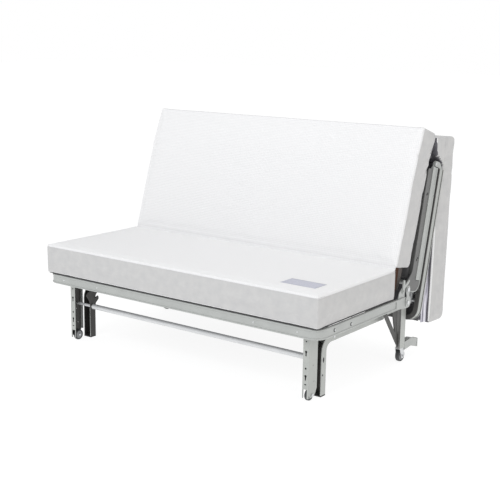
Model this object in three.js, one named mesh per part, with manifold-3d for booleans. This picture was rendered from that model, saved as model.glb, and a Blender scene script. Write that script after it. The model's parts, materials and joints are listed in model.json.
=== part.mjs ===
// Rollaway lounger bed for a guest room: three mattress sections on three hinged steel frames.
// It stands here as a sofa: seat level, back section reclined, foot section folded behind the back.
// Millimetres. +X is the width, +Y points from the seat's front to the back, +Z is up.
// The origin is the middle of the footprint, on the floor.
import * as THREE from "three";
import { mergeVertices } from "three/addons/utils/BufferGeometryUtils.js";
import Module from "manifold-3d";

// ---------------------------------------------------------------- driving dimensions
const OVERALL_DEPTH = 1008.5; // front of the seat mattress to the back of the foot mattress
const RAIL_HALF_WIDTH = 690; // outer face of the side rails
const MATTRESS_HALF_WIDTH = 683;
const SHEET = 3; // thickness of the pressed steel
const GAP = 0.4; // clearance between separate pieces that touch
const TILT = THREE.MathUtils.degToRad(13.5); // back section behind vertical

const RAIL = { height: 38.5, flange: 20, lip: 12, recess: 2.5, corner: 50 };
const SEAT = { railBottom: 258, railFront: 6, railBack: 612, deckBack: 548, mattressDepth: 551 };
const MATTRESS_EDGE = 12; // bevel round the mattress faces
const SEAT_TOP = 423;
const SEAT_DECK_TOP = 300;

const BACK_HINGE = { y: 644, z: 326 }; // seat to back pivot
const RAIL_END_BOLT = { y: 645, z: 272 };
const LOCK_PIVOT = { y: 606, z: 326 };
const BACK = { deck: 27, railFront: 63.5, railRear: 102, railFoot: 40, railTop: 500 };
const BACK_MATTRESS = { creaseY: 552.5, creaseZ: 423.5, tilt: 17, seam: 4, length: 560, thickness: 112 };
const FOLD_HINGE = { y: 92, z: 515 }; // back to foot pivot, in the back section's own frame
const FOOT = { railFront: 26, railTop: -15, railEnd: -643 };
const FOOT_MATTRESS = { back: 1009, top: 908, tilt: 1.5, length: 775, thickness: 120, topThickness: 91.5 };

const FRONT_LEG = { inner: 586, outer: 612, front: 63, back: 120, top: 290, bottom: 14 };
const REAR_LEG = { inner: 632, outer: 650, front: 677, back: 717, bottom: 61.5, top: 255.5 };
const FRONT_WHEEL = { x: 598, y: 90, radius: 22, width: 14 };
const REAR_WHEEL = { x: 633.5, y: 712, radius: 25.5, width: 18 };
const AXLE_RADIUS = 4;
const RELEASE_BAR = { y: 98, z: 160, radius: 11, clawAt: 513 };
const FOOT_CAP_HEIGHT = 4.5;
const SIDE_BAR = { x: 596, width: 40, depth: 31, front: 157.5, back: 596, run: 215.5 };

// ---------------------------------------------------------------- finishes
const finish = (color, roughness, metalness) =>
  new THREE.MeshStandardMaterial({ color, roughness, metalness });
const PAINT = finish(0xb4b8b4, 0.42, 0.55);
const ZINC = finish(0xc9cdd0, 0.28, 0.95);
const DARK_STEEL = finish(0x4a4845, 0.55, 0.6);
const KNIT = finish(0xf1f1f1, 0.95, 0);
const DECK = finish(0x4b4b50, 0.9, 0);
const WHEEL = finish(0x8b8d90, 0.6, 0);
const FOOT_CAP = finish(0x3b3b3d, 0.7, 0);

// ---------------------------------------------------------------- solids
const wasm = await Module();
wasm.setup();

function toSolid(geometry) {
  const source = geometry.index ? geometry.toNonIndexed() : geometry;
  const bare = new THREE.BufferGeometry();
  bare.setAttribute("position", source.getAttribute("position").clone());
  const merged = mergeVertices(bare, 1e-3);
  const mesh = new wasm.Mesh({
    numProp: 3,
    vertProperties: merged.attributes.position.array,
    triVerts: new Uint32Array(merged.index.array),
  });
  return new wasm.Manifold(mesh);
}

function toGeometry(solid) {
  const mesh = solid.getMesh();
  const geometry = new THREE.BufferGeometry();
  geometry.setAttribute("position", new THREE.BufferAttribute(mesh.vertProperties, 3));
  geometry.setIndex(new THREE.BufferAttribute(mesh.triVerts, 1));
  geometry.computeVertexNormals();
  return geometry;
}

const join = (...pieces) => toGeometry(pieces.map(toSolid).reduce((a, b) => a.add(b)));

// ---------------------------------------------------------------- outlines and extrusions
// A closed outline through corners [a, b, radius], each corner rounded by its own radius,
// or by less where an edge is too short for it.
function outline(corners, holes = []) {
  const shape = new THREE.Shape();
  const points = corners.map(([a, b]) => new THREE.Vector2(a, b));
  const ring = THREE.ShapeUtils.isClockWise(points) ? corners.toReversed() : corners;
  ring.forEach(([a, b, radius = 0], i) => {
    const corner = new THREE.Vector2(a, b);
    const toward = ([otherA, otherB]) => {
      const edge = new THREE.Vector2(otherA, otherB).sub(corner);
      return edge.setLength(Math.min(radius, 0.45 * edge.length())).add(corner);
    };
    const start = toward(ring.at(i - 1));
    const end = toward(ring[(i + 1) % ring.length]);
    if (i === 0) shape.moveTo(start.x, start.y);
    else shape.lineTo(start.x, start.y);
    if (radius > 0) shape.quadraticCurveTo(corner.x, corner.y, end.x, end.y);
  });
  shape.closePath();
  shape.holes.push(...holes);
  return shape;
}

const circle = (a, b, radius) => new THREE.Path().absarc(a, b, radius, 0, 2 * Math.PI, true);

function extruded(shape, depth, curveSegments = 4) {
  return new THREE.ExtrudeGeometry(shape, { depth, bevelEnabled: false, curveSegments });
}

// A plate whose outline is in Y and Z, between two places along X.
function sidePlate(shape, x0, x1) {
  const turn = new THREE.Matrix4().makeBasis(
    new THREE.Vector3(0, 1, 0),
    new THREE.Vector3(0, 0, 1),
    new THREE.Vector3(1, 0, 0),
  );
  return extruded(shape, x1 - x0).applyMatrix4(turn).translate(x0, 0, 0);
}

// A plate whose outline is in X and Z, between two places along Y.
function frontPlate(shape, y0, y1) {
  return extruded(shape, y1 - y0).rotateX(Math.PI / 2).translate(0, y1, 0);
}

function block(x0, x1, y0, y1, z0, z1) {
  const box = new THREE.BoxGeometry(x1 - x0, y1 - y0, z1 - z0);
  return box.translate((x0 + x1) / 2, (y0 + y1) / 2, (z0 + z1) / 2);
}

function rod(radius, x0, x1, { y, z }, sides = 16) {
  const cylinder = new THREE.CylinderGeometry(radius, radius, x1 - x0, sides);
  return cylinder.rotateZ(Math.PI / 2).translate((x0 + x1) / 2, y, z);
}

// A wheel about an axis along X, with a bore for its axle.
function wheel({ x, y, radius, width }) {
  const edge = 2.5;
  const bore = AXLE_RADIUS + 0.6;
  const half = width / 2;
  const profile = [
    [bore, -half],
    [radius - edge, -half],
    [radius, edge - half],
    [radius, half - edge],
    [radius - edge, half],
    [bore, half],
    [bore, -half],
  ].map(([r, along]) => new THREE.Vector2(r, along));
  return new THREE.LatheGeometry(profile, 28).rotateZ(-Math.PI / 2).translate(x, y, radius);
}

// A path of straight runs with rounded corners, swept with a section that keeps one side
// along a fixed direction: section x runs along `up`, section y along tangent x up.
class BentPath extends THREE.Curve {
  constructor(corners, radius, up, steps = 5) {
    super();
    this.up = up;
    this.stations = corners.flatMap((corner, i) =>
      i === 0 || i === corners.length - 1
        ? [corner]
        : BentPath.arc(corners[i - 1], corner, corners[i + 1], radius, steps),
    );
  }

  static arc(before, corner, after, radius, steps) {
    const a = before.clone().sub(corner).normalize();
    const b = after.clone().sub(corner).normalize();
    const half = a.angleTo(b) / 2;
    const axis = b.clone().cross(a).normalize();
    const centre = a.clone().add(b).setLength(radius / Math.sin(half)).add(corner);
    const from = a.multiplyScalar(radius / Math.tan(half)).add(corner).sub(centre);
    const sweep = Math.PI - 2 * half;
    return Array.from({ length: steps + 1 }, (_, i) =>
      from.clone().applyAxisAngle(axis, (sweep * i) / steps).add(centre),
    );
  }

  getPointAt(u) {
    return this.stations[Math.round(u * (this.stations.length - 1))].clone();
  }

  computeFrenetFrames() {
    const last = this.stations.length - 1;
    const tangents = this.stations.map((_, i) => {
      const ahead = this.stations[Math.min(i + 1, last)];
      return ahead.clone().sub(this.stations[Math.max(i - 1, 0)]).normalize();
    });
    const binormals = tangents.map((t) => t.clone().cross(this.up).normalize());
    return { tangents, normals: tangents.map(() => this.up), binormals };
  }
}

function sweep(shape, corners, radius, up) {
  const path = new BentPath(corners.map((c) => new THREE.Vector3(...c)), radius, up);
  const steps = path.stations.length - 1;
  return new THREE.ExtrudeGeometry(shape, { extrudePath: path, steps, curveSegments: 4 });
}

function tubeSection(radius, sides = 12) {
  const points = Array.from({ length: sides }, (_, i) => {
    const angle = (2 * Math.PI * i) / sides;
    return new THREE.Vector2(radius * Math.cos(angle), radius * Math.sin(angle));
  });
  return new THREE.Shape(points);
}

// Pressed rail: a web set in between two proud edges, with a wide and a narrow flange.
// First coordinate across the rail from its wide flange, second coordinate outwards.
function railSection() {
  const { height, flange, lip, recess } = RAIL;
  const web = recess + SHEET;
  return outline([
    [0, -flange], [0, -2], [2, 0], [5, 0], [7, -recess],
    [height - 8, -recess], [height - 6, 0], [height - 2, 0], [height, -2], [height, -lip],
    [height - SHEET, -lip], [height - SHEET, -web], [SHEET, -web], [SHEET, -flange],
  ]);
}

// A mattress with softly rounded edges, from its side outline in Y and Z.
function mattress(corners) {
  const round = 20;
  const shape = outline(corners.map(([y, z]) => [y, z, round]));
  const body = new THREE.ExtrudeGeometry(shape, {
    depth: 2 * (MATTRESS_HALF_WIDTH - MATTRESS_EDGE),
    bevelThickness: MATTRESS_EDGE,
    bevelSize: MATTRESS_EDGE,
    bevelOffset: -MATTRESS_EDGE,
    bevelSegments: 2,
    curveSegments: 3,
  });
  body.rotateY(Math.PI / 2).rotateX(Math.PI / 2);
  return body.translate(MATTRESS_EDGE - MATTRESS_HALF_WIDTH, 0, 0);
}

// ---------------------------------------------------------------- scene graph
const bed = new THREE.Group();
bed.position.y = -OVERALL_DEPTH / 2;

const backSection = new THREE.Group();
backSection.position.set(0, BACK_HINGE.y, BACK_HINGE.z);
backSection.rotation.x = -TILT;
bed.add(backSection);

const footSection = new THREE.Group();
footSection.position.set(0, FOLD_HINGE.y, FOLD_HINGE.z);
backSection.add(footSection);

function add(parent, name, geometry, material) {
  const mesh = new THREE.Mesh(geometry, material);
  mesh.name = name;
  parent.add(mesh);
  return mesh;
}

// The right-hand piece as modelled, and its mirror image on the left.
function addPair(parent, name, geometry, material) {
  add(parent, name + "_right", geometry, material);
  add(parent, name + "_left", geometry, material).scale.x = -1;
}

const UP = new THREE.Vector3(0, 0, 1);
const REARWARD = new THREE.Vector3(0, 1, 0);
const FORWARD = new THREE.Vector3(0, -1, 0);
const SIDEWAYS = new THREE.Vector3(1, 0, 0);

// X layers at a side hinge, from the mattress outwards.
const ARM_LAYER = [683.4, 686.4];
const RAIL_PLATE_LAYER = [687, RAIL_HALF_WIDTH];
const OUTER_LAYER = [690.4, 693.4];
const HEAD_LAYER = [693.8, 697];

// ---------------------------------------------------------------- seat section
function railEndPlate() {
  const bottom = SEAT.railBottom;
  const top = bottom + RAIL.height;
  const shape = outline(
    [
      [560, bottom], [634, 250], [666, 249, 16], [678, 272, 12],
      [666, 295, 12], [640, top], [560, top],
    ],
    [circle(RAIL_END_BOLT.y, RAIL_END_BOLT.z, 5.5)],
  );
  return sidePlate(shape, ...RAIL_PLATE_LAYER);
}

function seatRail() {
  const x = RAIL_HALF_WIDTH;
  const { railBottom: z, railFront, railBack } = SEAT;
  const corners = [[-x, railBack, z], [-x, railFront, z], [x, railFront, z], [x, railBack, z]];
  const channel = sweep(railSection(), corners, RAIL.corner, UP);
  const rightEnd = railEndPlate();
  const leftEnd = rightEnd.clone().translate(-x - RAIL_PLATE_LAYER[0], 0, 0);
  return join(channel, rightEnd, leftEnd);
}

function buildSeat() {
  const inside = RAIL_HALF_WIDTH - RAIL.flange - GAP;
  add(bed, "seat_rail", seatRail(), PAINT);
  add(bed, "seat_cross_tube", block(-inside, inside, 572, 598, 256.5, 281), DARK_STEEL);
  add(bed, "seat_deck", block(-673, 673, 14, SEAT.deckBack, SEAT_DECK_TOP - SHEET, SEAT_DECK_TOP), DECK);
  const bottom = SEAT_DECK_TOP + 1;
  const back = SEAT.mattressDepth;
  const pad = mattress([[0, bottom], [back, bottom], [back, SEAT_TOP], [0, SEAT_TOP]]);
  add(bed, "seat_mattress", pad, KNIT);
}

// ---------------------------------------------------------------- front legs and side bars
function keyhole(x, z) {
  const slot = new THREE.Path();
  slot.absarc(x, z + 7, 5, -Math.PI / 3, (4 * Math.PI) / 3, false);
  slot.lineTo(x - 2.5, z - 9);
  slot.lineTo(x + 2.5, z - 9);
  slot.closePath();
  return slot;
}

function frontLeg() {
  const { inner, outer, front, back, top, bottom } = FRONT_LEG;
  const middle = (inner + outer) / 2;
  const notch = { left: 589.5, right: 606.5, top: 48 };
  const face = outline(
    [
      [inner, bottom, 3], [notch.left, bottom], [notch.left, notch.top], [notch.right, notch.top],
      [notch.right, bottom], [outer, bottom], [outer, top], [inner, top],
    ],
    [
      circle(middle, 230, 3), keyhole(middle, 184), circle(middle, 128, 4), keyhole(middle, 92),
      new THREE.Path().absellipse(middle, 67, 5.5, 2.2, 0, 2 * Math.PI, true),
    ],
  );
  const web = outline(
    [
      [front, top], [back, top], [back, 44, 6], [108, 21, 8],
      [FRONT_WHEEL.y, 12, 8], [75, 17, 6], [front, 32],
    ],
    [circle(FRONT_WHEEL.y, FRONT_WHEEL.radius, 4.6), circle(92, 136, 2.2), circle(100, 74, 2.2)],
  );
  return join(
    frontPlate(face, front, front + SHEET),
    sidePlate(web, outer - SHEET, outer),
    block(outer - 14, outer, back - SHEET, back, 44, top),
    block(outer - SHEET, RAIL_HALF_WIDTH - 6, 100, 103, 264, top),
  );
}

function frontAxle() {
  const at = { y: FRONT_WHEEL.y, z: FRONT_WHEEL.radius };
  const { outer } = FRONT_LEG;
  return join(rod(AXLE_RADIUS, 588, outer + 1, at), rod(7, outer + GAP, outer + 3.5, at));
}

// A channel that stands behind the front leg and bends back to run under the seat rail.
function sideBar() {
  const w = SIDE_BAR.width / 2;
  const d = SIDE_BAR.depth / 2;
  const channel = outline([
    [-w, -d], [-w + SHEET, -d], [-w + SHEET, d - SHEET], [w - SHEET, d - SHEET],
    [w - SHEET, -d], [w, -d], [w, d], [-w, d],
  ]);
  const { x, front, run } = SIDE_BAR;
  const corners = [[x, front, FOOT_CAP_HEIGHT + GAP], [x, front, run], [x, SIDE_BAR.back, run]];
  return sweep(channel, corners, 45, SIDEWAYS);
}

function buildFrontLegs() {
  const { x, width, front, depth } = SIDE_BAR;
  const half = width / 2;
  const foot = block(x - half, x + half, front - depth / 2, front + depth / 2, 0, FOOT_CAP_HEIGHT);
  addPair(bed, "front_leg", frontLeg(), PAINT);
  addPair(bed, "side_bar", sideBar(), PAINT);
  addPair(bed, "front_foot", foot, FOOT_CAP);
  addPair(bed, "front_axle", frontAxle(), ZINC);
  addPair(bed, "front_wheel", wheel(FRONT_WHEEL), WHEEL);
}

// ---------------------------------------------------------------- rear legs
function rearLeg() {
  const { inner, outer, front, back, bottom, top } = REAR_LEG;
  return join(
    block(outer - SHEET, outer, front, back, bottom, top),
    block(inner, outer, front, front + SHEET, bottom, top),
    block(inner, outer, back - SHEET, back, bottom, top),
    block(inner, outer, 562, back, 232, top),
  );
}

// A dark V-shaped plate between the underside of the seat frame and the leg.
function rearBrace() {
  const top = 231.6;
  const rear = REAR_LEG.front - GAP;
  const shape = outline([
    [550, top, 3], [576, top], [648, 137, 4], [622, top], [661, top],
    [664, 150, 8], [rear, 112], [rear, 70], [666, 82, 8],
  ]);
  return sidePlate(shape, 636, 641);
}

function rearFork() {
  const { x, y, radius, width } = REAR_WHEEL;
  const cheek = outline(
    [[y - 20, 58], [y + 12, 58], [y + 12, 20, 10], [y, 12, 6], [y - 12, 20, 10]],
    [circle(y, radius, 4.6)],
  );
  const inner = width / 2 + 1.2;
  const outer = inner + SHEET;
  return join(
    sidePlate(cheek, x + inner, x + outer),
    sidePlate(cheek, x - outer, x - inner),
    block(x - outer, x + outer, y - 20, y + 12, 55, 61),
  );
}

function antiTipHeel() {
  const angle = outline([[0, 0], [0, 34], [-SHEET, 34], [-SHEET, SHEET], [-24, SHEET], [-24, 0]]);
  const x = REAR_LEG.outer;
  const corners = [[x, 717.5, 83], [x, 776, 89], [x, 829, 73]];
  const toe = block(x - 24, x, 828, 833, 38, 74);
  return join(sweep(angle, corners, 60, SIDEWAYS), toe);
}

function buildRearLegs() {
  const { x, y, radius } = REAR_WHEEL;
  addPair(bed, "rear_leg", rearLeg(), PAINT);
  addPair(bed, "rear_brace", rearBrace(), DARK_STEEL);
  addPair(bed, "anti_tip_heel", antiTipHeel(), PAINT);
  addPair(bed, "rear_fork", rearFork(), ZINC);
  addPair(bed, "rear_axle", rod(AXLE_RADIUS, x - 19, x + 19, { y, z: radius }), ZINC);
  addPair(bed, "rear_wheel", wheel(REAR_WHEEL), WHEEL);
}

// ---------------------------------------------------------------- release bar under the seat
// The bar turns between the webs of the two front legs, thinner at the left behind its claw.
function releaseBar() {
  const { radius, clawAt } = RELEASE_BAR;
  const end = FRONT_LEG.outer - SHEET - GAP;
  return join(rod(radius, -clawAt, end, RELEASE_BAR, 20), rod(6, -end, 3 - clawAt, RELEASE_BAR));
}

function releaseClaw() {
  const { y, z, clawAt } = RELEASE_BAR;
  const hook = outline(
    [
      [y - 12, z - 13, 6], [y + 12, z - 13, 6], [y + 16, z + 12, 4], [y + 34, z + 28, 3],
      [y + 32, z + 42, 3], [y + 8, z + 34, 3], [y - 4, z + 46, 3], [y + 20, z + 56, 3],
      [y + 22, z + 68, 2], [y - 26, z + 68, 4], [y - 36, z + 54, 4], [y - 16, z + 22, 6],
    ],
    [circle(y, z, 6.8)],
  );
  return sidePlate(hook, -clawAt - GAP - 5, -clawAt - GAP);
}

function buildReleaseBar() {
  add(bed, "release_bar", releaseBar(), ZINC);
  add(bed, "release_claw", releaseClaw(), DARK_STEEL);
}

// ---------------------------------------------------------------- hinge between seat and back

function backRiser() {
  const shape = outline(
    [
      [630, 257, 10], [661, 257, 12], [662, 288, 8], [654, 302, 6], [660, 316, 8],
      [659, 341, 12], [630, 341, 12], [630, 312, 6], [637, 300, 6], [630, 288, 6],
    ],
    [circle(RAIL_END_BOLT.y, RAIL_END_BOLT.z, 5.5), circle(BACK_HINGE.y, BACK_HINGE.z, 6.6)],
  );
  return sidePlate(shape, ...OUTER_LAYER);
}

function headedPin(radius, headRadius, x0, at) {
  return join(rod(radius, x0, HEAD_LAYER[0] + 1, at), rod(headRadius, ...HEAD_LAYER, at));
}

function lockBracket() {
  const plate = outline([[572, 297.2, 3], [622, 297.2, 3], [622, 334, 8], [604, 342, 8], [578, 322, 6]]);
  const [inner, outer] = RAIL_PLATE_LAYER;
  return join(
    sidePlate(plate, inner, outer),
    block(inner, outer + 7, 576, 616, 297.2, 300),
    rod(AXLE_RADIUS, outer - 1, outer + 7, LOCK_PIVOT),
  );
}

// A two-pronged lever that props the back frame.
function lockPawl() {
  const { y, z } = LOCK_PIVOT;
  const shape = outline(
    [
      [y - 9, z - 9, 6], [y + 9, z - 9, 6], [y + 12, z + 10, 4], [y + 34, z + 20, 3],
      [y + 48, z + 32, 4], [y + 42, z + 40, 4], [y + 22, z + 28, 3], [y + 10, z + 22, 3],
      [y + 8, z + 44, 4], [y - 3, z + 45, 4], [y - 9, z + 14, 5],
    ],
    [circle(y, z, 4.6)],
  );
  return sidePlate(shape, OUTER_LAYER[0], OUTER_LAYER[0] + 4);
}

function buildBackHinge() {
  addPair(bed, "back_riser", backRiser(), PAINT);
  addPair(bed, "riser_bolt", headedPin(5, 8.5, RAIL_PLATE_LAYER[0], RAIL_END_BOLT), ZINC);
  addPair(bed, "back_pin", headedPin(6, 9, ARM_LAYER[0], BACK_HINGE), ZINC);
  addPair(bed, "lock_bracket", lockBracket(), PAINT);
  addPair(bed, "lock_pawl", lockPawl(), PAINT);
}

// ---------------------------------------------------------------- back section
// In this section's frame Z runs up the section and Y points to its underside.
function backArm() {
  const { deck, railFront, railRear, railFoot } = BACK;
  const edge = railFront - GAP;
  const plate = outline(
    [
      [-13, -13, 12], [14, -13, 8], [30, -6, 8], [railRear, -6, 44], [railRear, railFoot - 2, 3],
      [edge, railFoot - 2, 2], [edge, 490, 10], [deck, 490, 10], [deck, 70, 16], [-13, 22, 14],
    ],
    [circle(0, 0, 6.6), circle(45, 120, 4.5), circle(45, 385, 4.5)],
  );
  const [inner, outer] = ARM_LAYER;
  const ledge = deck + SHEET + GAP;
  return join(sidePlate(plate, inner, outer), block(664, inner + 1, ledge, ledge + SHEET, 60, 480));
}

function backRail() {
  const { railRear, railFoot, railTop } = BACK;
  const x = RAIL_HALF_WIDTH;
  return sweep(railSection(), [[x, railRear, railFoot], [x, railRear, railTop]], 0, FORWARD);
}

function backStrap() {
  const { y, z } = FOLD_HINGE;
  const shape = outline(
    [
      [69, 430, 5], [97, 430, 5], [97, 501, 3], [y + 12, z - 3, 6], [y + 9, z + 12, 9],
      [y - 9, z + 12, 9], [69, 482, 8],
    ],
    [circle(y, z, 5.6)],
  );
  return sidePlate(shape, 676, 679);
}

function foldPin() {
  return join(rod(5, 674, 684.2, FOLD_HINGE), rod(8, 671.5, 675.6, FOLD_HINGE));
}

// A leg bent from one tube: two sides on pivots and a crosspiece that stands on the floor.
function tubeLeg(x, y, pivot, crosspiece) {
  const end = pivot + 14 * Math.sign(pivot - crosspiece);
  const corners = [[x, y, end], [x, y, crosspiece], [-x, y, crosspiece], [-x, y, end]];
  const stub = rod(8, x - 2, MATTRESS_HALF_WIDTH, { y, z: pivot });
  const otherStub = rod(8, -MATTRESS_HALF_WIDTH, 2 - x, { y, z: pivot });
  return join(sweep(tubeSection(11), corners, 42, REARWARD), stub, otherStub);
}

function buildBack() {
  const { deck } = BACK;
  const inside = RAIL_HALF_WIDTH - RAIL.flange - GAP;
  const armInside = ARM_LAYER[0] - GAP;
  addPair(backSection, "back_arm", backArm(), DARK_STEEL);
  addPair(backSection, "back_rail", backRail(), PAINT);
  addPair(backSection, "back_strap", backStrap(), PAINT);
  addPair(backSection, "fold_pin", foldPin(), ZINC);
  add(backSection, "back_lower_tube", rod(11, -armInside, armInside, { y: 41.5, z: 26 }), PAINT);
  add(backSection, "back_upper_tube", rod(12, -inside, inside, { y: 83, z: 470 }), PAINT);
  add(backSection, "back_deck", block(-679, 679, deck, deck + SHEET, 45, 495), DECK);
  add(backSection, "middle_leg", tubeLeg(655, 83, 400, 168), ZINC);
}

// ---------------------------------------------------------------- foot section
// Same directions as the back section, with its origin on the fold hinge.
function footStrap() {
  const shape = outline(
    [
      [31, -85, 5], [59, -85, 5], [59, -12, 12], [32, 11, 12], [-6, 11.5, 9],
      [-11, -4, 7], [-5, -11, 5], [20, -11, 3], [31, -12, 3],
    ],
    [circle(0, 0, 5.6)],
  );
  return sidePlate(shape, 680, 683);
}

function footRail() {
  const x = RAIL_HALF_WIDTH;
  const { railFront: y, railTop, railEnd } = FOOT;
  const corners = [[x, y, railTop], [x, y, railEnd], [-x, y, railEnd], [-x, y, railTop]];
  return sweep(railSection(), corners, RAIL.corner, REARWARD);
}

function buildFoot() {
  const inside = RAIL_HALF_WIDTH - RAIL.flange - GAP;
  const deckFront = FOOT.railFront + RAIL.height + GAP;
  const deck = block(-679, 679, deckFront, deckFront + SHEET, FOOT.railEnd + 7, -30);
  add(footSection, "foot_rail", footRail(), PAINT);
  addPair(footSection, "foot_strap", footStrap(), PAINT);
  add(footSection, "foot_top_tube", rod(12, -inside, inside, { y: 45, z: -42 }), PAINT);
  add(footSection, "foot_deck", deck, DECK);
  add(footSection, "foot_leg", tubeLeg(640, 45, -560, -292), ZINC);
}

// ---------------------------------------------------------------- loose mattress sections
// The cover joins the sections, so each leans at its own angle and not at its frame's.
function addMattress(name, corners, y, z, tilt) {
  const pad = add(bed, name, mattress(corners), KNIT);
  pad.position.set(0, y, z);
  pad.rotation.x = -THREE.MathUtils.degToRad(tilt);
}

// It stands on the crease behind the seat mattress.
function buildBackMattress() {
  const { creaseY, creaseZ, tilt, seam, length, thickness } = BACK_MATTRESS;
  const top = seam + length;
  const corners = [[0, seam], [thickness, seam], [thickness, top], [0, top]];
  addMattress("back_mattress", corners, creaseY, creaseZ, tilt);
}

// Thinner at the top, where it is squeezed behind the folded foot deck.
function buildFootMattress() {
  const { back, top, tilt, length, thickness, topThickness } = FOOT_MATTRESS;
  const corners = [
    [0, 0], [0, -length], [-thickness, -length], [-thickness, -290], [-topThickness, -156],
    [-topThickness, 0],
  ];
  addMattress("foot_mattress", corners, back, top, tilt);
}

buildSeat();
buildFrontLegs();
buildRearLegs();
buildReleaseBar();
buildBackHinge();
buildBack();
buildFoot();
buildBackMattress();
buildFootMattress();

export default bed;
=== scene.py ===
"""Looks for the rollaway bed: soft mattresses, sprung decks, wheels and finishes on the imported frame."""

import json
import math

import bmesh
import bpy
from mathutils import Matrix, Vector, noise
from mathutils.bvhtree import BVHTree


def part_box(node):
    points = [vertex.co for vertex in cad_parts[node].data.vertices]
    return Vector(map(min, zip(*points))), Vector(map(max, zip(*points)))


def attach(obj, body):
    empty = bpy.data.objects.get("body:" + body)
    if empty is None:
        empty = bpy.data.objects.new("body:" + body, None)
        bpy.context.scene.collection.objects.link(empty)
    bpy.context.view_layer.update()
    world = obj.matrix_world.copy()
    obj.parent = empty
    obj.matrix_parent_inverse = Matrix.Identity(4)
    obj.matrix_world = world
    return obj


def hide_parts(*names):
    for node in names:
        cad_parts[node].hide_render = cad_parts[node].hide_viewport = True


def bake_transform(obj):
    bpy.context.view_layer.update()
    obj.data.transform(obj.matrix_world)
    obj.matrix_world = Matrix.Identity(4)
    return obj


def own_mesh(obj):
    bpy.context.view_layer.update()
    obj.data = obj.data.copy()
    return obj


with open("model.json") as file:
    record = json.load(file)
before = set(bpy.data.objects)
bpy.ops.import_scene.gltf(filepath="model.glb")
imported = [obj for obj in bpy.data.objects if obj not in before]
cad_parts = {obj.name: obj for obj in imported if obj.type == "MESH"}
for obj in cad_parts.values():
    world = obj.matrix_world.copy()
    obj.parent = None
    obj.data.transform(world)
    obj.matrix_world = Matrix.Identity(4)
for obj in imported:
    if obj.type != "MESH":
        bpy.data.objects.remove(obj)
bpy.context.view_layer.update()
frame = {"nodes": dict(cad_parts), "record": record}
RECORD = frame["record"]
JOINTS = {joint["name"]: joint for joint in RECORD["behaviour"]["joints"]}
NODES = frame["nodes"]
MM = 0.001

# ---------------------------------------------------------------- places taken from the frame
SEAT_LOW, SEAT_HIGH = (Vector(corner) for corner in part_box("seat_mattress"))
SEAT_FRONT = SEAT_LOW.y
HALF_WIDTH = SEAT_HIGH.x
BACK_HINGE = Vector(JOINTS["back_recline"]["pos_m"])
FOLD_HINGE = Vector(JOINTS["foot_unfold"]["pos_m"])
CREASE = Vector(JOINTS["back_pad_fold"]["pos_m"])
BACK_TILT = 90 - JOINTS["back_recline"]["range_deg"][1]
PAD_TILT = 90 - JOINTS["back_pad_fold"]["range_deg"][1]
FOOT_TILT = BACK_TILT - JOINTS["foot_pad_settle"]["range_deg"][1]


def leaning(place, tilt):
    """A frame at place whose Z leans back by tilt degrees."""
    return Matrix.Translation(place) @ Matrix.Rotation(-math.radians(tilt), 4, "X")


SEAT_PLACE = leaning(Vector((0, SEAT_FRONT, SEAT_HIGH.z)), 90)
PAD_PLACE = leaning(CREASE, PAD_TILT)
BACK_PLACE = leaning(BACK_HINGE, BACK_TILT)
FOOT_PLACE = leaning(FOLD_HINGE, BACK_TILT)
FOOT_PAD_REACH = 1.009  # from the seat's front to the top rear edge of the folded foot mattress
FOOT_PAD_HEIGHT = 0.908  # of that edge above the floor
FOOT_PAD_TOP = Vector((0, SEAT_FRONT + FOOT_PAD_REACH, FOOT_PAD_HEIGHT))
FOOT_PAD_PLACE = leaning(FOOT_PAD_TOP, FOOT_TILT)


# ---------------------------------------------------------------- materials
FACING = 0.5  # a face points along an axis when its normal's share of it is above this
PAINT_METALLIC = 0.35
PAINT_ROUGHNESS = 0.42
BAR_EDGE = 160 * MM  # from the seat's front to the hollow of a side bar


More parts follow.
